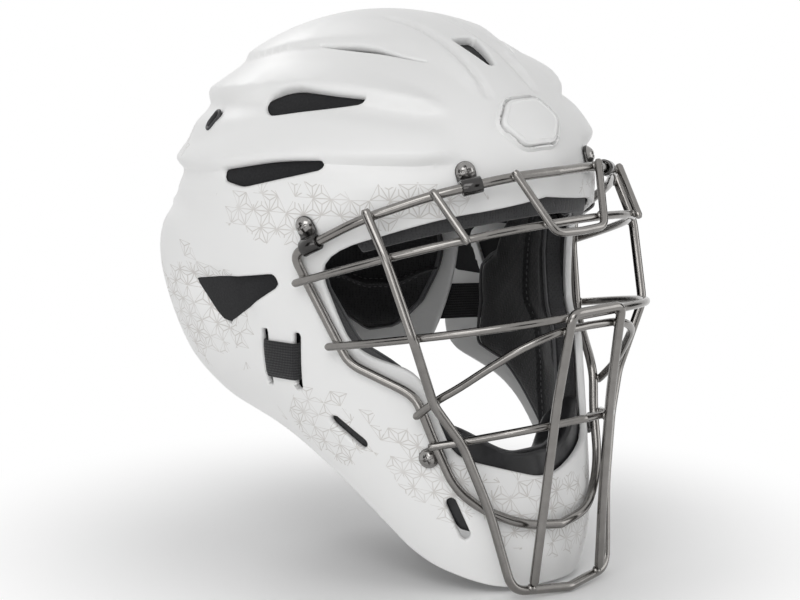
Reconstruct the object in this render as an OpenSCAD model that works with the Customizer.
// Softball catcher helmet with a welded wire face cage and a hinged rear plate.
// Sizes in mm. The face looks along -Y, +Z is up, +X is the wearer's left side.
// The shell, its linings and the cage are mirror images about the plane x = 0.

/* [Shell] */
// Widest outside width of the shell
shell_w = 232; // [224:1:240]
// Reach of the shell ahead of its middle section
front_reach = 139; // [134:1:144]
// Reach of the crown behind its middle section
rear_reach = 114; // [110:1:118]
// Height of the crown above the widest section
crown_h = 98; // [94:1:102]
// Wall of the moulded shell
wall = 4; // [3:0.25:5]
// Height of the overlapping tiers over the surface
tier_h = 3; // [2:0.25:4]
// Outward step of the ear covers behind the ears
ear_flare = 3.5; // [2:0.25:5]
// Depth of the recess for the brow plate
badge_recess = 1.2; // [0.8:0.1:1.8]

/* [Openings] */
// Shell left beside the face port at the temples
port_side = 16; // [14:1:19]
// Top of the face port
port_top = 73; // [71:1:74]
// Bottom of the face port at the chin
port_bottom = -82; // [-84:1:-78]
// Width of the elastic slots
slot_w = 4; // [3.6:0.2:5]
// Length of the elastic slots
slot_l = 33; // [31:1:36]
// Width of the empty chin strap slots
chin_slot_w = 6; // [5:0.5:7]

/* [Cage] */
// Gauge of the rim and the uprights
upright_d = 5.2; // [4.8:0.1:5.6]
// Gauge of the cross bars
bar_d = 4.4; // [4:0.1:4.8]
// Depth to which crossing wires are forged together at a weld
weld_sink = 0.3; // [0.15:0.05:0.5]

/* [Fasteners] */
// Sheet of the cage clips
clip_t = 1.6; // [1.2:0.1:2]
// Width of the cage clips
clip_w = 11; // [9:0.5:13]
// Head of the cage screws
head_d = 10.5; // [9:0.5:11]
// Shank of the cage screws
shank_d = 4.8; // [4:0.2:5]
// Running clearance round screws, wires and pins
fit = 0.15; // [0.1:0.05:0.3]

/* [Padding] */
// Thickness of the brow and crown pads
pad_t = 14; // [11:0.5:16]
// Thickness of the jaw pads
jaw_pad_t = 18; // [15:0.5:20]
// Thickness of the chin cup
chin_pad_t = 16; // [13:0.5:18]
// Clearance between a pad and what carries it
pad_gap = 0.3; // [0.2:0.05:0.4]

/* [Rear plate] */
// Wall of the rear plate
plate_t = 3.5; // [3:0.25:4]
// Room beside the plate, inside the shell
plate_side_gap = 15; // [14:0.5:19]
// Room behind the plate, inside the shell
plate_gap = 3; // [2:0.25:5]
// Distance from the back of the crown in to the hinge
hinge_inset = 17.5; // [17:0.5:19]
// Hinge pin
pin_d = 3; // [2.5:0.25:4]
// Width of the elastic bands
band_w = 21; // [18:1:24]
// Thickness of the elastic bands
band_t = 1.6; // [1.2:0.1:2]

/* [Hidden] */

wide_z = 65;
row_step = 30;
shell_mid_y = 21;
shell_r = shell_w / 2;
port_half_w = shell_r - port_side;

// One row each 30 mm down from the widest level: half width, middle y,
// front reach, rear reach, front squareness, rear squareness
ROWS = [
  [shell_r, shell_mid_y, front_reach, rear_reach, 1.86, 1.86],
  [shell_r - 3, shell_mid_y - 1, front_reach - 6, rear_reach + 7, 1.86, 2.7],
  [shell_r - 9, shell_mid_y - 5, front_reach - 11, rear_reach + 9, 1.86, 2.9],
  [shell_r - 16, shell_mid_y - 13, front_reach - 18, rear_reach + 6, 1.95, 2.9],
  [shell_r - 27, shell_mid_y - 27, front_reach - 28, rear_reach - 4, 2.1, 2.8],
  [shell_r - 39, shell_mid_y - 44, front_reach - 40, rear_reach - 16, 2.25, 2.6],
  [shell_r - 53, shell_mid_y - 64, front_reach - 57, rear_reach - 34, 2.5, 2.5],
  [shell_r - 66, shell_mid_y - 83, front_reach - 79, rear_reach - 54, 2.5, 2.5]
];

function smooth(a, b, x) =
  let (t = min(1, max(0, (x - a) / (b - a)))) t * t * (3 - 2 * t);
function unit(v) = v / norm(v);
function clampi(i, n) = min(n, max(0, i));

// Catmull-Rom through the rows; the row above the widest one mirrors the row below it
function row(i) = i < 0 ? ROWS[1] : ROWS[clampi(i, len(ROWS) - 1)];
function row_at(z) =
  let (
    s = (wide_z - z) / row_step,
    i = clampi(floor(s), len(ROWS) - 2),
    t = s - i,
    p0 = row(i - 1), p1 = row(i), p2 = row(i + 1), p3 = row(i + 2)
  )
  0.5 * (2 * p1 + (p2 - p0) * t + (2 * p0 - 5 * p1 + 4 * p2 - p3) * t * t
    + (3 * p1 - p0 - 3 * p2 + p3) * t * t * t);
function dome_row(z) =
  let (
    s = sqrt(max(1e-6, 1 - pow((z - wide_z) / crown_h, 2))),
    w = ROWS[0]
  )
  [w[0] * s, w[1] - 0.1 * (z - wide_z), w[2] * s, w[3] * s, w[4], w[5]];
function section(z) = z > wide_z ? dome_row(z) : row_at(z);

// A point of the plain skin: bearing a is 0 at the face and 90 over the left ear
function on_section(p, a) =
  let (
    c = cos(a), s = sin(a),
    n = c > 0 ? p[4] : p[5],
    reach = c > 0 ? p[2] : p[3]
  )
  [
    p[0] * sign(s) * pow(abs(s), 2 / n),
    p[1] - reach * sign(c) * pow(abs(c), 2 / n)
  ];
function ear_step(a, z) =
  ear_flare * smooth(84, 104, abs(a)) * (1 - smooth(46, 60, z)) * smooth(-50, -20, z);
function plain(a, z) =
  let (q = on_section(section(z), a)) [q[0], q[1], z];
function skin_normal(a, z) =
  z > wide_z + crown_h - 0.5 ? [0, 0, 1] :
  let (
    e = 0.4,
    du = plain(a + e, z) - plain(a - e, z),
    dv = plain(a, min(z + e, wide_z + crown_h - 0.2)) - plain(a, z - e)
  )
  unit(cross(du, dv));
function skin(a, z, off = 0) = plain(a, z) + (off + ear_step(a, z)) * skin_normal(a, z);
function apex(off = 0) = [0, ROWS[0][1] - 0.1 * crown_h, wide_z + crown_h + off];

// Closed surface from rings of equal length, shut by its first and last ring
function flip_ring(n, k, first) = first
  ? [for (i = [0:n - 1]) k * n + i]
  : [for (i = [n - 1:-1:0]) k * n + i];
module rings(pts, n, shut = true) {
  m = len(pts) / n;
  polyhedron(
    points = pts,
    faces = concat(
      [for (j = [0:m - 2], i = [0:n - 1])
        let (a = j * n + i, b = j * n + (i + 1) % n)
        each [[a, b, b + n], [a, b + n, a + n]]],
      shut ? [flip_ring(n, 0, false), flip_ring(n, m - 1, true)] : []
    ),
    convexity = 12
  );
}

// Heights of the tier edges at each bearing, from the face to the back of the head
PANEL_EDGE = [
  [0, 128.5], [14, 128.6], [16, 134.5], [20, 143], [26, 148.7], [40, 152.5],
  [60, 152], [75, 151], [99, 147.5], [115, 142], [137, 137], [180, 130]
];
PANEL_FOOT = [
  [0, 126], [16, 126.2], [19, 128.8], [23, 137], [31, 144.7], [40, 148],
  [57, 149.5], [75, 149], [99, 145.4], [115, 139.5], [137, 134.5], [180, 127.5]
];
UPPER_RISE = [
  [0, 124], [28, 124.5], [35, 131], [48, 138.6], [65, 143], [84, 143],
  [109, 137], [137, 131], [180, 123]
];
UPPER_EDGE = [
  [0, 121], [28, 121.8], [42, 125.2], [52, 127.8], [60, 129.2], [70, 129.8],
  [88, 125.3], [107, 122], [137, 115], [180, 106]
];
LOWER_RISE = [
  [0, 117], [28, 119], [47, 120.3], [58, 118.8], [70, 115.7], [88, 106.7],
  [111, 96], [137, 91], [180, 83]
];
LOWER_EDGE = [
  [0, 98], [26, 100], [28, 97.5], [37, 96], [61, 96], [77, 92], [90, 87],
  [115, 82], [137, 78], [180, 70]
];
edge_drop = 2.2;
LOW_LEVELS = [62, 54, 46, 34, 18, 2, -14, -30, -46, -62, -78, -94, -110, -126, -150];

function lift(z) = asin((z - wide_z) / crown_h);
function fall(p) = wide_z + crown_h * sin(p);
// [height, raise] of every outside ring at bearing a
function outside_levels(a) =
  let (
    b = abs(a),
    e1 = lookup(b, PANEL_EDGE),
    f1 = lookup(b, PANEL_FOOT),
    r2 = lookup(b, UPPER_RISE),
    e2 = lookup(b, UPPER_EDGE),
    r3 = lookup(b, LOWER_RISE),
    e3 = lookup(b, LOWER_EDGE),
    in1 = tier_h * 0.8 * smooth(7, 20, b),
    in2 = tier_h * smooth(26, 36, b),
    in3 = tier_h * smooth(24, 34, b),
    p1 = lift(e1)
  )
  concat(
    [
      [fall(80), tier_h * 0.7],
      [fall(70), tier_h * 0.7],
      [fall(70 + (p1 - 70) / 3), tier_h * 0.65],
      [fall(70 + (p1 - 70) * 2 / 3), (tier_h * 0.6 + in1) / 2],
      [e1, in1],
      [f1, 0],
      [r2, 0],
      [(r2 + e2) / 2, in2 * 0.6],
      [e2, in2],
      [e2 - edge_drop, 0],
      [r3, 0],
      [(r3 + e3) / 2, in3 * 0.6],
      [e3, in3],
      [e3 - edge_drop, 0],
      [(e3 - edge_drop + LOW_LEVELS[0]) / 2, 0]
    ],
    [for (z = LOW_LEVELS) [z, 0]]
  );
outside_turns = 48;
inside_turns = 40;
module outside(off = 0) {
  cols = [for (i = [0:outside_turns - 1]) let (t = i * 360 / outside_turns) t > 180 ? t - 360 : t];
  lv = [for (a = cols) outside_levels(a)];
  n = outside_turns;
  pts = [for (j = [0:len(lv[0]) - 1], i = [0:n - 1]) skin(cols[i], lv[i][j][0], lv[i][j][1] + off)];
  crown_cap(pts, n, apex(tier_h * 0.7 + off));
}
INSIDE_LIFTS = [80, 70, 60, 50, 40, 30, 20, 10];
module inside(off) {
  cols = [for (i = [0:inside_turns - 1]) let (t = i * 360 / inside_turns) t > 180 ? t - 360 : t];
  levels = concat([for (p = INSIDE_LIFTS) fall(p)], LOW_LEVELS, [-160]);
  pts = [for (z = levels, a = cols) skin(a, max(z, -150), off) + [0, 0, min(0, z + 150)]];
  crown_cap(pts, inside_turns, apex(off));
}
module crown_cap(pts, n, top) {
  m = len(pts) / n;
  polyhedron(
    points = concat(pts, [top]),
    faces = concat(
      [for (j = [0:m - 2], i = [0:n - 1])
        let (a = j * n + i, b = j * n + (i + 1) % n)
        each [[a, b, b + n], [a, b + n, a + n]]],
      [for (i = [0:n - 1]) [(i + 1) % n, i, m * n]],
      [[for (i = [0:n - 1]) (m - 1) * n + i]]
    ),
    convexity = 12
  );
}

// Corner p between its neighbours a and b, rounded over the length c on both sides
bend_steps = 3;
function rounded(a, p, b, c) =
  c == 0 ? [p] :
  let (
    s = p + unit(a - p) * min(c, norm(a - p) * 0.49),
    e = p + unit(b - p) * min(c, norm(b - p) * 0.49)
  )
  [for (i = [0:bend_steps]) let (t = i / bend_steps) s * (1 - t) * (1 - t) + p * 2 * t * (1 - t) + e * t * t];
// Path through [point, cut] pairs
function soft_path(pts, closed = true) =
  let (n = len(pts))
  [for (i = [0:n - 1])
    let (
      last = !closed && (i == 0 || i == n - 1),
      a = pts[(i + n - 1) % n][0],
      b = pts[(i + 1) % n][0]
    )
    each rounded(a, pts[i][0], b, last ? 0 : pts[i][1])];
function flip(p) = [for (i = [0:len(p) - 1]) i == 0 ? -p[i] : p[i]];
function mirrored(half) =
  concat(
    half,
    [for (i = [len(half) - 1:-1:0]) if (half[i][0][0] > 0) [flip(half[i][0]), half[i][1]]]
  );
module both_sides() {
  children();
  mirror([1, 0, 0]) children();
}
// Prism with its outline in the front view (x, z), from y = y0 to y = y1
module front_prism(outline, y0, y1) {
  translate([0, y1, 0]) rotate([90, 0, 0]) linear_extrude(y1 - y0) polygon(outline);
}
// Prism with its outline in the side view (y, z), from x = x0 to x = x1
module side_prism(outline, x0, x1) {
  translate([x0, 0, 0]) rotate([90, 0, 90]) linear_extrude(x1 - x0) polygon(outline);
}
// Places its children with their X, Y and Z along the given directions
module placed(o, x, z) {
  k = unit(z);
  i = unit(x - (x * k) * k);
  j = cross(k, i);
  multmatrix([[i[0], j[0], k[0], o[0]], [i[1], j[1], k[1], o[1]], [i[2], j[2], k[2], o[2]], [0, 0, 0, 1]])
    children();
}

PORT = soft_path(mirrored([
  [[0, port_top], 0],
  [[62, port_top - 9], 18],
  [[port_half_w, 44], 18],
  [[84.5, -10], 10],
  [[63, -20], 8],
  [[51, -66], 9],
  [[0, port_bottom], 14]
]));
// Lower rim and the open back of the ear covers, in the side view
CUT_OFF = soft_path([
  [[-200, -143], 0],
  [[-121, -141.5], 12],
  [[-78, -126], 14],
  [[-38, -84], 20],
  [[-2, -60], 20],
  [[56, -46], 18],
  [[84, 8], 40],
  [[79, 56], 8],
  [[200, 58], 0],
  [[200, -220], 0],
  [[-200, -220], 0]
]);
CROWN_VENT = soft_path([
  [[0, 149.2], 1], [[-26, 150.8], 12], [[-58, 143.6], 1], [[-36, 147.4], 8], [[-14, 148.6], 4]
]);
UPPER_VENT = soft_path([
  [[7, 122], 5], [[-8, 129.6], 10], [[-51, 126.8], 3], [[-49, 124.4], 2], [[-2, 114.6], 5]
]);
LOWER_VENT = soft_path([
  [[19, 84.5], 4], [[-20, 92.8], 12], [[-44.5, 94.6], 4], [[-44, 89.6], 3], [[2, 76.2], 5], [[18, 78.5], 3]
]);
FRONT_VENT = soft_path(mirrored([
  [[0, -49.5], 0], [[8.5, -50], 3], [[6.5, -62], 6], [[2.5, -75], 2]
]));
EAR_VENT = soft_path([
  [[50, 18.5], 2], [[-16, 30], 3], [[-18.5, 23.5], 3], [[27, -4], 6], [[34, -2], 5]
]);

// [bearing, height] of what is fixed to the skin
BROW_SCREW = [25.6, 89.5];
TEMPLE_SCREW = [63, 59];
JAW_SCREW = [44, -66];
BADGE_AT = [0, 112.5];
CHIN_SLOT_1 = [[70.7, -50], [65.5, -61.4]];
CHIN_SLOT_2 = [[42.8, -91], [42.4, -108]];
STRAP_HOLE = [[106.5, 110], [107.6, 106]];
ELASTIC_SLOTS = [[-4, -4], [-25.5, -4]];
slot_lean = 3;
band_z = -18.5;
hole_d = 6.5;
nut_barrel_d = 7;

function at_skin(p, off = 0) = skin(p[0], p[1], off);
module on_skin(p, off = 0) {
  placed(at_skin(p, off), at_skin([p[0] + 1, p[1]]) - at_skin([p[0] - 1, p[1]]), skin_normal(p[0], p[1]))
    children();
}
module skin_slot(ends, w) {
  hull() for (p = ends) on_skin(p) cylinder(h = wall * 5, d = w, center = true, $fn = 20);
}
module side_slot(at) {
  hull() for (dz = [0, 1])
    translate([60, at[0] + dz * slot_lean, at[1] - dz * (slot_l - slot_w)])
      rotate([0, 90, 0]) cylinder(h = shell_r, d = slot_w, $fn = 16);
}
badge_w = 42;
badge_h = 27;
module badge_outline(grow = 0) {
  polygon(soft_path(mirrored([
    [[0, badge_h / 2 + grow], 0],
    [[badge_w / 4 + grow * 0.6, badge_h / 2 + grow], 4],
    [[badge_w / 2 + grow, 0.5], 5],
    [[badge_w / 4 + grow * 0.6, -badge_h / 2 - grow], 4],
    [[0, -badge_h / 2 - grow], 0]
  ])));
}
module badge_prism(grow, depth) {
  on_skin(BADGE_AT, -depth) linear_extrude(30) badge_outline(grow);
}

module front_shell() {
  color("whitesmoke") difference() {
    outside();
    inside(-wall);
    front_prism(PORT, -220, -20);
    side_prism(CUT_OFF, -150, 150);
    front_vent_cut();
    both_sides() {
      side_prism(CROWN_VENT, 14, 120);
      side_prism(UPPER_VENT, 50, 140);
      side_prism(LOWER_VENT, 60, 140);
      side_prism(EAR_VENT, 70, 140);
      for (s = ELASTIC_SLOTS) side_slot(s);
      skin_slot(CHIN_SLOT_1, chin_slot_w);
      skin_slot(CHIN_SLOT_2, chin_slot_w);
      skin_slot(STRAP_HOLE, hole_d);
      for (k = [0:2])
        at_clip(k) cylinder(h = wall * 4, d = nut_barrel_d + 2 * fit, center = true, $fn = 32);
    }
    intersection() {
      badge_prism(1.2, 6);
      difference() {
        outside(8);
        outside(-badge_recess);
      }
    }
  }
}
module front_vent_cut() {
  translate([0, 0, 110]) linear_extrude(60) polygon(FRONT_VENT);
}
plate_rise = 0.6;
module brow_plate() {
  color("gainsboro") intersection() {
    badge_prism(0, 6);
    difference() {
      outside(plate_rise);
      outside(-badge_recess);
    }
  }
}

// Cushion over a patch of surface. face(u, v, d) gives the point at depth d for u, v in -1..1
channel_depth = 3.5;
function dome_of(u, v) = sqrt((1 - pow(abs(u), 5)) * (1 - pow(abs(v), 5)));
function drawn(u, v) = [u * (1 - 0.07 * v * v), v * (1 - 0.09 * u * u)];
function welt(x, at) = len([for (c = at) if (abs(x - c) < 0.001) 1]) > 0 ? 1 : 0;
// us, vs: the grid lines; su, sv: those that are stitched channels
module cushion(face, t, us, vs, su = [], sv = [], base = 0.35) {
  n = len(us);
  m = len(vs);
  function depth(u, v) =
    let (d = t * base + t * (1 - base) * dome_of(u, v))
    d - min(channel_depth, d - t * base) * max(welt(u, su), welt(v, sv)) * 0.8;
  back = [for (v = vs, u = us) let (q = drawn(u, v)) face(q[0], q[1], 0)];
  front = [for (v = vs, u = us) let (q = drawn(u, v)) face(q[0], q[1], depth(u, v))];
  k = n * m;
  edge = concat(
    [for (i = [0:n - 2]) i],
    [for (j = [0:m - 2]) j * n + n - 1],
    [for (i = [n - 1:-1:1]) (m - 1) * n + i],
    [for (j = [m - 1:-1:1]) j * n]
  );
  e = len(edge);
  polyhedron(
    points = concat(back, front),
    faces = concat(
      [for (j = [0:m - 2], i = [0:n - 2])
        let (a = j * n + i) each [[a, a + n, a + n + 1], [a, a + n + 1, a + 1]]],
      [for (j = [0:m - 2], i = [0:n - 2])
        let (a = k + j * n + i) each [[a, a + n + 1, a + n], [a, a + 1, a + n + 1]]],
      [for (i = [0:e - 1])
        let (p = edge[i], q = edge[(i + 1) % e])
        each [[p, q, q + k], [p, q + k, p + k]]]
    ),
    convexity = 8
  );
}
function steps(n) = [for (i = [0:n]) 2 * i / n - 1];
facet_sag = 0.6;
under = -wall - pad_gap - facet_sag;

function brow_face(u, v, d) =
  let (
    a = 54 * u,
    lo = 75 - 0.0055 * a * a,
    hi = 116 - 0.002 * a * a
  )
  skin(a, (lo + hi) / 2 + v * (hi - lo) / 2, under - d);
module brow_pad() {
  color("dimgray") difference() {
    cushion(function(u, v, d) brow_face(u, v, d), pad_t, steps(16), steps(6), su = [-0.5, 0.5]);
    both_sides() nut_pocket(0);
  }
}
nut_flange_d = 14;
nut_flange_t = 1.5;
nut_drop = 1.2;
thread_out = 0.6;
module nut_pocket(k) {
  floor_z = -wall - nut_drop - nut_flange_t - thread_out - 0.5;
  at_clip(k, floor_z) cylinder(h = 10, d = nut_flange_d + 2, $fn = 32);
}

function on_dome(x, y) =
  let (
    w = ROWS[0],
    reach = y < w[1] ? w[2] : w[3],
    r = pow(pow(abs(x) / w[0], w[4]) + pow(abs(y - w[1] + 6) / reach, w[4]), 1 / w[4])
  )
  [x, y, wide_z + crown_h * sqrt(max(0.01, 1 - r * r))];
function dome_point(x, y, off) =
  let (
    p = on_dome(x, y),
    n = unit(cross(on_dome(x + 1, y) - on_dome(x - 1, y), on_dome(x, y + 1) - on_dome(x, y - 1)))
  )
  p + n * off;
CROWN_US = [-1, -0.85, -0.62, -0.38, -0.32, -0.16, 0, 0.16, 0.32, 0.38, 0.62, 0.85, 1];
module crown_pad() {
  color("dimgray")
    cushion(
      function(u, v, d) dome_point(66 * u, 16 + 72 * v, under - 1 - d),
      pad_t, CROWN_US, steps(10), su = [-0.38, 0.38], sv = [0.2]
    );
}

function side_face(u, v, d) =
  let (
    z = 73 + 24 * v,
    a0 = lookup(z, [[49, 66], [97, 58]]),
    a1 = lookup(z, [[49, 96], [97, 116]])
  )
  skin((a0 + a1) / 2 + u * (a1 - a0) / 2, z, under - d);
module side_pads() {
  color("dimgray") both_sides() difference() {
    cushion(function(u, v, d) side_face(u, v, d), pad_t, steps(8), steps(6), sv = [0]);
    nut_pocket(1);
  }
}

JAW_FRONT = [[-82, 50], [-60, 46], [-31, 42.5], [-20, 45], [-8, 55.5], [20, 61], [46, 62]];
JAW_BACK = [[-82, 93], [-61, 94], [-42, 96], [-19, 93], [2, 92.5], [25, 87], [46, 80]];
function jaw_foot(u) = lookup(u, [[-1, -88], [-0.4, -84], [0.2, -68], [0.6, -56], [1, -47]]);
function jaw_face(u, v, d) =
  let (
    z = (44 + jaw_foot(u)) / 2 + (44 - jaw_foot(u)) / 2 * v,
    a0 = lookup(z, JAW_FRONT),
    a1 = lookup(z, JAW_BACK),
    a = (a0 + a1) / 2 + u * (a1 - a0) / 2
  )
  skin(a, z, under - max(d, band_groove(a, z)));
// The jaw pads have a groove in the back for the elastic bands
groove_depth = 4;
function band_groove(a, z) =
  groove_depth * smooth(56, 64, a) * (1 - smooth(band_w / 2 + 2.5, band_w / 2 + 11.5, abs(z - band_z)));
JAW_US = [-1, -0.9, -0.7, -0.4, -0.1, 0.2, 0.5, 0.8, 1];
module jaw_pads() {
  color("dimgray") both_sides() difference() {
    cushion(function(u, v, d) jaw_face(u, v, d), jaw_pad_t, JAW_US, steps(14), sv = [0]);
    nut_pocket(2);
  }
}

function chin_face(u, v, d) =
  let (
    a = 44 * u,
    lo = -112 + 0.004 * a * a,
    hi = -84 + 26 * smooth(12, 50, abs(a))
  )
  skin(a, (lo + hi) / 2 + v * (hi - lo) / 2, under - d);
module chin_cup() {
  color("black") difference() {
    cushion(function(u, v, d) chin_face(u, v, d), chin_pad_t, steps(18), steps(6), su = []);
    both_sides() nut_pocket(2);
  }
}

// Centre lines of the cage wires. Each corner has the length of its bend
function up_from(path, i) =
  let (n = len(path))
  unit(path[clampi(i + 1, n - 1)] - path[clampi(i - 1, n - 1)]);
module wire(path, d, ref, closed = false) {
  n = len(path);
  sides = 8;
  tangents = closed
    ? [for (i = [0:n - 1]) unit(path[(i + 1) % n] - path[(i + n - 1) % n])]
    : [for (i = [0:n - 1]) up_from(path, i)];
  // The sides of the polygon stand out so that its mean radius is the gauge's
  r = d / 2 / sqrt(cos(180 / sides));
  pts = [for (i = [0:n - 1])
    let (u = unit(cross(ref, tangents[i])), w = cross(tangents[i], u))
    for (k = [0:sides - 1]) path[i] + r * (cos(k * 360 / sides) * u - sin(k * 360 / sides) * w)];
  if (closed) rings(concat(pts, [for (k = [0:sides - 1]) pts[k]]), sides, false);
  else rings(pts, sides);
}
function both_halves(half) =
  concat(half, [for (i = [len(half) - 1:-1:0]) if (half[i][0][0] > 0) [flip(half[i][0]), half[i][1]]]);

// Corners of the rim wire: bearing, height, stand-off of its middle from the skin, bend
RIM_AT = [
  [0, 86, 9.8, 0],
  [16.6, 84.9, 12.6, 14],
  [34.1, 77.9, 11.4, 14],
  [49.2, 65.9, 10.7, 14],
  [65.4, 44, 4.6, 6.5],
  [63.3, 29, 2.4, 8],
  [58, -5.6, 3.2, 5],
  [56.5, -15.4, 3.6, 7],
  [41.7, -31.2, 4.2, 9],
  [40.6, -39.8, 5.2, 4],
  [40.1, -57.5, 4.2, 6],
  [38.6, -81.3, 5, 9],
  [31.3, -93.5, 3.5, 9],
  [15.2, -103.5, 5, 11],
  [0, -106, 6.4, 0]
];
function rim(i, by = [0, 0, 0]) = skin(RIM_AT[i][0], RIM_AT[i][1], RIM_AT[i][2]) + by;
RIM = soft_path(both_halves([for (i = [0:len(RIM_AT) - 1]) [rim(i), RIM_AT[i][3]]]));
// A point at the distance d in front of the shell
function ahead(x, d, z) = [x, -front_reach - d, z];
upright_r = upright_d / 2;

// A bar bowed round the face: half width, front reach, middle y, squareness
half_bar = 10;
function bowed(w, reach, y0, n, level, fall_y, y_end) =
  let (a_end = acos(pow((y0 - y_end) / reach, n / 2)))
  [for (i = [-half_bar:half_bar])
    let (
      a = a_end * i / half_bar,
      c = pow(abs(cos(a)), 2 / n),
      s = sign(sin(a)) * pow(abs(sin(a)), 2 / n),
      y = y0 - reach * c
    )
    [w * s, y, level - fall_y * y]];
function swung(half) =
  concat([for (i = [len(half) - 1:-1:1]) [flip(half[i][0]), half[i][1]]], half);
UPPER_BAR = bowed(rim(5)[0] + 6.3, front_reach - 11, -10, 2.3, 15.9, 0.34, rim(5)[1] + 4.2);
LOWER_BAR = bowed(rim(6)[0] + 6.2, front_reach + 0.1, -13.4, 2.6, -16.3, 0.2, rim(6)[1] + 4.4);
// Heights of the two bars at the front
upper_z = UPPER_BAR[half_bar][2];
lower_z = LOWER_BAR[half_bar][2];
DIAGONAL = soft_path(swung([
  [ahead(0, 11.6, lower_z - 6.6), 0],
  [ahead(24, 11.8, lower_z - 7.2), 9],
  [ahead(42, 4, 0), 10],
  [rim(9, [-11.8, -35.5, 25.5]), 9],
  [rim(9, [-4.8, -23.5, 15.5]), 8],
  [rim(9, [1.4, -12.9, 8]), 6],
  [rim(9, [3.8, -2.4, -0.5]), 4],
  [rim(9, [4, 1, -3]), 0]
]), false);
CHIN_BAR = soft_path(swung([
  [ahead(0, 8.6, -44), 0],
  [ahead(34, -1.4, -47), 14],
  [rim(10, [-7.5, -14.4, 2.3]), 5],
  [rim(10, [5.2, -0.6, -1.1]), 0]
]), false);
// A wire that lies over another one is a layer further out
lay = (upright_d + bar_d) / 2 - weld_sink;
function piece_at(path, x) =
  [for (i = [0:len(path) - 2]) if (path[i][0] <= x && x < path[i + 1][0]) i][0];
// The place of a wire that runs along dir and lies over the bar at the given x
function over_bar(bar, x, dir, gap = lay) =
  let (
    i = piece_at(bar, x),
    a = bar[i],
    b = bar[i + 1],
    t = (x - a[0]) / (b[0] - a[0])
  )
  a * (1 - t) + b * t + gap * unit(cross(b - a, dir));
LONG_U = soft_path(swung([
  [ahead(0, -1, -139.5), 0],
  [ahead(36, -8.5, -137), 9],
  [rim(12, [0.9, -7.5, 0.2]), 10],
  [over_bar(CHIN_BAR, rim(10)[0] - 7.5, [14.5, 6.2, 32]), 5],
  [over_bar(DIAGONAL, rim(9)[0] + 1.2, [14.5, 6.2, 32]), 5],
  [over_bar(LOWER_BAR, rim(6)[0] - 8.1, [11, 9, 36], lay + 0.5), 5],
  [over_bar(UPPER_BAR, rim(5)[0] - 11.8, [4, 9, 34], lay + 0.3), 5],
  [rim(3, [0.1, -6, 2.8]), 5],
  [rim(3, [0.5, -4.6, 6.3]), 0]
]), false);
MOUTH_U = soft_path(swung([
  [ahead(0, 17.8, lower_z + 2.8), 0],
  [ahead(18.6, 17.8, lower_z + 2.8), 5],
  [ahead(20.4, 8.5, -33), 10],
  [ahead(22.5, 2, -87), 10],
  [ahead(25.2, -3, -134), 0]
]), false);
BROW_U = soft_path(swung([
  [ahead(0, 5.8, upper_z - 4.8), 0],
  [ahead(18.2, 4.8, upper_z - 4.3), 5],
  [rim(1, [-2.3, -2.5, 3.7]), 0]
]), false);
strut_top = rim(2, [1.5, -1.7, 3.2]);
strut_weld = over_bar(UPPER_BAR, strut_top[0] - 8, [8, 18, 27], bar_d - weld_sink);
STRUT = [strut_top, strut_weld + 3 * unit(strut_weld - strut_top)];
module cage_rim() {
  color("dimgray") wire(RIM, upright_d, [0, -0.94, 0.34], true);
}
module upper_eye_bar() {
  color("silver") wire(UPPER_BAR, bar_d, [0, 0, 1]);
}
module lower_eye_bar() {
  color("silver") wire(LOWER_BAR, bar_d, [0, 0, 1]);
}
module diagonal_bar() {
  color("silver") wire(DIAGONAL, bar_d, [0, -0.4, 1]);
}
module lower_bar() {
  color("silver") wire(CHIN_BAR, bar_d, [0, 0, 1]);
}
module long_upright() {
  color("gray") wire(LONG_U, upright_d, [0, -1, 0]);
}
module mouth_frame() {
  color("gray") wire(MOUTH_U, upright_d, [0, -1, 0]);
}
module brow_loop() {
  color("gray") wire(BROW_U, bar_d, [0, -1, -0.2]);
}
module brow_struts() {
  color("gray") both_sides()
    placed(STRUT[0], [1, 0, 0], STRUT[1] - STRUT[0]) cylinder(h = norm(STRUT[1] - STRUT[0]), d = bar_d);
}

// Clips: a folded strip under a screw, closed round the rim wire.
// Each has its screw, the rim corner ahead of it and its share of the way to the next corner
CLIP_AT = [[BROW_SCREW, 1, 0.337], [TEMPLE_SCREW, 3, 0.646], [JAW_SCREW, 10, 0.34]];
// Screw, point on the wire and direction of the wire
CLIPS = [for (c = CLIP_AT) let (way = rim(c[1] + 1) - rim(c[1])) [c[0], rim(c[1]) + c[2] * way, way]];
clip_hole_d = shank_d + 2 * fit;
head_h = 3.2;
// Frame of clip k: origin at the screw on the skin, X along the wire, Z out of the shell
function clip_x(k) = unit(CLIPS[k][2]);
function clip_z(k) =
  let (n = skin_normal(CLIPS[k][0][0], CLIPS[k][0][1]), x = clip_x(k)) unit(n - (n * x) * x);
module at_clip(k, off = 0) {
  z = clip_z(k);
  placed(at_skin(CLIPS[k][0]) + off * z, clip_x(k), z) children();
}
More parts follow.
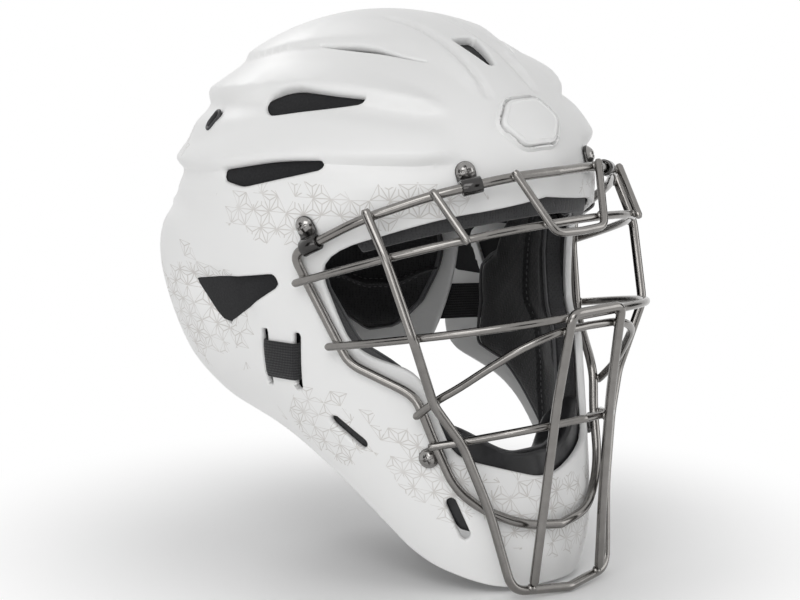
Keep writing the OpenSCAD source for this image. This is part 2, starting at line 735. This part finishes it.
// The wire in the clip's own frame
function wire_in(k) =
  let (
    z = clip_z(k), x = clip_x(k), y = cross(z, x),
    d = CLIPS[k][1] - at_skin(CLIPS[k][0])
  )
  [d * y, d * z];
seat = 0.2;
clip_foot = 5.5;
module clip(k) {
  w = wire_in(k);
  inner = upright_r / sqrt(cos(22.5)) + fit;
  side = sign(w[0]);
  foot = [side * clip_foot, seat + clip_t / 2];
  start = [-side * clip_foot, seat + clip_t / 2];
  reach = w - foot;
  lean = side * asin((inner + clip_t / 2) / norm(reach));
  dir = [reach[0] * cos(lean) - reach[1] * sin(lean), reach[0] * sin(lean) + reach[1] * cos(lean)];
  touch = foot + unit(dir) * norm(reach) * cos(lean);
  at_clip(k) difference() {
    union() {
      across(clip_w) union() {
        strip(start, foot);
        strip(foot, touch);
        difference() {
          translate(w) circle(r = inner + clip_t);
          translate(w) circle(r = inner);
        }
      }
      translate([0, 0, seat]) cylinder(h = clip_t, d = clip_w);
    }
    cylinder(h = 20, d = clip_hole_d, center = true);
    translate([0, 0, seat + clip_t]) cylinder(h = 20, d = head_d + 4 * fit);
    across(2 * clip_w) translate(w) circle(r = inner);
  }
}
// A flat tab under the screw that the rim wire is welded to
module tab_clip(k) {
  w = wire_in(k);
  side = sign(w[0]);
  level = seat + clip_t / 2;
  at_clip(k) difference() {
    union() {
      across(clip_w - 2) strip([-side * 3, level], [w[0] + side * 1.5, level]);
      translate([0, 0, seat]) cylinder(h = clip_t, d = clip_w);
    }
    cylinder(h = 20, d = clip_hole_d, center = true);
  }
}
module across(w) {
  rotate([90, 0, 90]) translate([0, 0, -w / 2]) linear_extrude(w) children();
}
module strip(a, b) {
  l = norm(b - a);
  translate(a) rotate(atan2(b[1] - a[1], b[0] - a[0])) translate([-clip_t / 2, -clip_t / 2])
    square([l + clip_t, clip_t]);
}
module brow_clips() {
  color("slategray") both_sides() clip(0);
}
module temple_clips() {
  color("slategray") both_sides() clip(1);
}
module jaw_clips() {
  color("slategray") both_sides() tab_clip(2);
}
driver_w = 1.2;
driver_l = 5.5;
driver_depth = 1.8;
module screw() {
  cap_r = (pow(head_d / 2, 2) + head_h * head_h) / (2 * head_h);
  shank_l = seat + clip_t + wall + nut_drop + nut_flange_t + thread_out;
  translate([0, 0, seat + clip_t + 0.02]) difference() {
    union() {
      rotate_extrude() intersection() {
        translate([0, head_h - cap_r]) circle(r = cap_r);
        square([head_d / 2, head_h]);
      }
      translate([0, 0, -shank_l]) cylinder(h = shank_l + 0.1, d = shank_d);
    }
    for (a = [0, 90]) rotate(a)
      translate([-driver_l / 2, -driver_w / 2, head_h - driver_depth]) cube([driver_l, driver_w, head_h]);
  }
}
module cage_screws() {
  color("lightgray") both_sides() for (k = [0:2]) at_clip(k) screw();
}
module cage_nuts() {
  color("darkgray") both_sides() for (k = [0:2]) at_clip(k) difference() {
    union() {
      translate([0, 0, -wall - nut_drop - nut_flange_t])
        cylinder(h = nut_flange_t, d = nut_flange_d, $fn = 32);
      translate([0, 0, -wall - nut_drop - 0.1]) cylinder(h = wall, d = nut_barrel_d, $fn = 32);
    }
    translate([0, 0, -20]) cylinder(h = 40, d = shank_d + 0.1);
  }
}

// Rear plate: rows each 25 mm down: half width, rear reach, squareness
plate_mid_y = 35;
plate_half_w = shell_r - wall - plate_side_gap;
plate_reach = shell_mid_y + rear_reach - wall - plate_gap - plate_mid_y;
plate_top_z = 60;
plate_step = 25;
PLATE_ROWS = [
  [plate_half_w, plate_reach, 1.9],
  [plate_half_w - 2, plate_reach + 5, 1.95],
  [plate_half_w - 7, plate_reach + 7.5, 2.05],
  [plate_half_w - 12, plate_reach + 5, 2.15],
  [plate_half_w - 18.5, plate_reach - 4, 2.2],
  [plate_half_w - 29.5, plate_reach - 18, 2.2],
  [plate_half_w - 44, plate_reach - 36, 2.2]
];
function plate_row(z) =
  let (
    s = max(-0.4, (plate_top_z - z) / plate_step),
    m = len(PLATE_ROWS) - 1,
    i = clampi(max(0, floor(s)), m - 1),
    t = s - i,
    p0 = PLATE_ROWS[clampi(max(0, i - 1), m)], p1 = PLATE_ROWS[i], p2 = PLATE_ROWS[i + 1],
    p3 = PLATE_ROWS[clampi(i + 2, m)]
  )
  0.5 * (2 * p1 + (p2 - p0) * t + (2 * p0 - 5 * p1 + 4 * p2 - p3) * t * t
    + (3 * p1 - p0 - 3 * p2 + p3) * t * t * t);
// Bearing b is 0 at the back of the head and positive to the wearer's left
function plate_plain(b, z) =
  let (p = plate_row(z))
  [
    p[0] * sign(b) * pow(abs(sin(b)), 2 / p[2]),
    plate_mid_y + p[1] * pow(cos(b), 2 / p[2]),
    z
  ];
function plate_normal(b, z) =
  let (e = 0.5, up = plate_plain(b, z + e) - plate_plain(b, z - e))
  unit(cross(up, plate_plain(b + e, z) - plate_plain(b - e, z)));
function plate_skin(b, z, off = 0) = plate_plain(b, z) + off * plate_normal(b, z);
plate_span = 84;
function plate_face(u, v, d) =
  let (
    b = -plate_span * u,
    lo = -70 + 22 * smooth(0, 60, abs(b)),
    hi = 64 - 8 * smooth(40, 84, abs(b))
  )
  plate_skin(b, (lo + hi) / 2 + v * (hi - lo) / 2, -d);
hinge_y = shell_mid_y + rear_reach - hinge_inset;
hinge_z = 62;
function at_hinge(y, z) = [hinge_y + y, hinge_z + z];
knuckle_d = 7;
bracket_half = 7.6;
knuckle_out = 16.5;
module along_x(x0, x1, d) {
  translate([x0, hinge_y, hinge_z]) rotate([0, 90, 0]) cylinder(h = x1 - x0, d = d);
}
// Arm from the knuckles to the plate, from the hinge line, in the side view
KNUCKLE_ARM = [[0, -3.5], [7.9, -6], [7.9, 1], [0, 3.5]];
module rear_plate() {
  color("whitesmoke") difference() {
    union() {
      cushion(function(u, v, d) plate_face(u, v, d), plate_t, steps(20), steps(8), base = 1);
      both_sides() {
        along_x(bracket_half + fit, knuckle_out, knuckle_d);
        side_prism([for (p = KNUCKLE_ARM) at_hinge(p[0], p[1])], bracket_half + fit, knuckle_out);
      }
    }
    along_x(-40, 40, pin_d + 2 * fit);
    both_sides() plate_vent();
  }
}
module plate_vent() {
  for (z = [18, -6])
    translate([0, shell_mid_y + rear_reach + 15, z]) rotate([90, 0, 0]) linear_extrude(80)
      polygon(soft_path([[[50, 6], 3], [[74, 3], 4], [[74, -3], 4], [[50, -6], 3]]));
}
module hinge_pin() {
  color("silver") {
    along_x(-knuckle_out - 1, knuckle_out + 1, pin_d);
    both_sides() along_x(knuckle_out + 0.4, knuckle_out + 1.6, pin_d + 2.5);
  }
}
// Outline of the leaf from the hinge line, in the side view
BRACKET_LEAF = [[-3.3, 1], [3.1, 1.6], [10.7, 11], [5, 30], [2.6, 30], [8, 12], [-1.5, 3.4]];
module hinge_bracket() {
  color("gray") difference() {
    union() {
      along_x(-bracket_half, bracket_half, knuckle_d);
      side_prism([for (p = BRACKET_LEAF) at_hinge(p[0], p[1])], -bracket_half, bracket_half);
    }
    along_x(-40, 40, pin_d + 2 * fit);
  }
}
module occipital_pad() {
  color("dimgray")
    cushion(
      function(u, v, d) plate_skin(-46 * u, 6 + 38 * v, -plate_t - pad_gap - facet_sag - d),
      pad_t, steps(12), steps(8), su = [0]
    );
}
module nape_pad() {
  color("dimgray")
    cushion(
      function(u, v, d) plate_skin(-38 * u, -51 + 14 * v + 4 * u * u, -plate_t - pad_gap - facet_sag - d),
      pad_t - 2, steps(10), steps(4)
    );
}

// Elastic bands: out through the rear slot, over the shell and in through the front slot
lean = slot_lean / (slot_l - slot_w);
slot_y = [for (k = [1, 0]) ELASTIC_SLOTS[k][0] + slot_lean / 2];
function bearing_at(y, z) =
  let (p = section(z), n = y < p[1] ? p[4] : p[5], reach = y < p[1] ? p[2] : p[3],
    c = pow(abs(y - p[1]) / reach, n / 2))
  y < p[1] ? acos(c) : 180 - acos(c);
// Points of the band at the height e above its middle line: beside the shell, in a slot, on the plate
function beside(y, off) =
  function(e) let (z = band_z + e) skin(bearing_at(y - e * lean, z), z, off);
function in_slot(y, off) =
  function(e) let (z = band_z + e) skin(bearing_at(y - e * lean, z), z) + [off, 0, 0];
function on_plate(b, off) =
  function(e) plate_skin(b, band_z + e, off);
over = band_t / 2 + 0.3;
inner = -wall - facet_sag - over;
buckle_b = 79;
BAND = [
  in_slot(slot_y[0] - 0.4, -wall - 2.6),
  in_slot(slot_y[0], -wall - 0.4),
  in_slot(slot_y[0], -0.6),
  in_slot(slot_y[0] + 0.5, 0.5),
  beside(slot_y[0] + 2.3, over),
  beside((slot_y[0] + slot_y[1]) / 2, over),
  beside(slot_y[1] - 2.3, over),
  in_slot(slot_y[1] - 0.5, 0.5),
  in_slot(slot_y[1], -0.6),
  in_slot(slot_y[1], -wall - 0.4),
  beside(slot_y[1] + 2.2, inner),
  beside(slot_y[1] + 14, inner),
  beside(slot_y[1] + 26, inner),
  beside(slot_y[1] + 38, inner),
  on_plate(buckle_b + 2, over + 0.3),
  on_plate(buckle_b - 0.5, over + 0.1)
];
module strap(path, w, t) {
  n = len(path);
  mid = [for (p = path) p(0)];
  pts = [for (i = [0:n - 1])
    let (
      out = unit(cross(up_from(mid, i), path[i](w / 2) - path[i](-w / 2))),
      row = [for (e = [-1, 0, 1]) path[i](e * w / 2)]
    )
    each [
      row[0] + out * t / 2, row[1] + out * t / 2, row[2] + out * t / 2,
      row[2] - out * t / 2, row[1] - out * t / 2, row[0] - out * t / 2
    ]];
  rings(pts, 6);
}
module elastic_bands() {
  color("black") both_sides() strap(BAND, band_w, band_t);
}
buckle_t = 3.2;
module band_buckles() {
  color("darkslategray") both_sides() {
    b = buckle_b - 3;
    way = plate_skin(b - 1, band_z) - plate_skin(b + 1, band_z);
    placed(plate_skin(b, band_z, 0.3), way, plate_normal(b, band_z))
      difference() {
        translate([-4, -band_w / 2 - 3, 0]) cube([8, band_w + 6, buckle_t]);
        translate([-6, -band_w / 2 - 0.5, -1]) cube([8, band_w + 1, buckle_t - 0.6 + 1]);
      }
  }
}

front_shell();
brow_plate();
brow_pad();
crown_pad();
side_pads();
jaw_pads();
chin_cup();
cage_rim();
upper_eye_bar();
lower_eye_bar();
diagonal_bar();
lower_bar();
long_upright();
mouth_frame();
brow_loop();
brow_struts();
brow_clips();
temple_clips();
jaw_clips();
cage_screws();
cage_nuts();
hinge_bracket();
hinge_pin();
rear_plate();
occipital_pad();
nape_pad();
elastic_bands();
band_buckles();
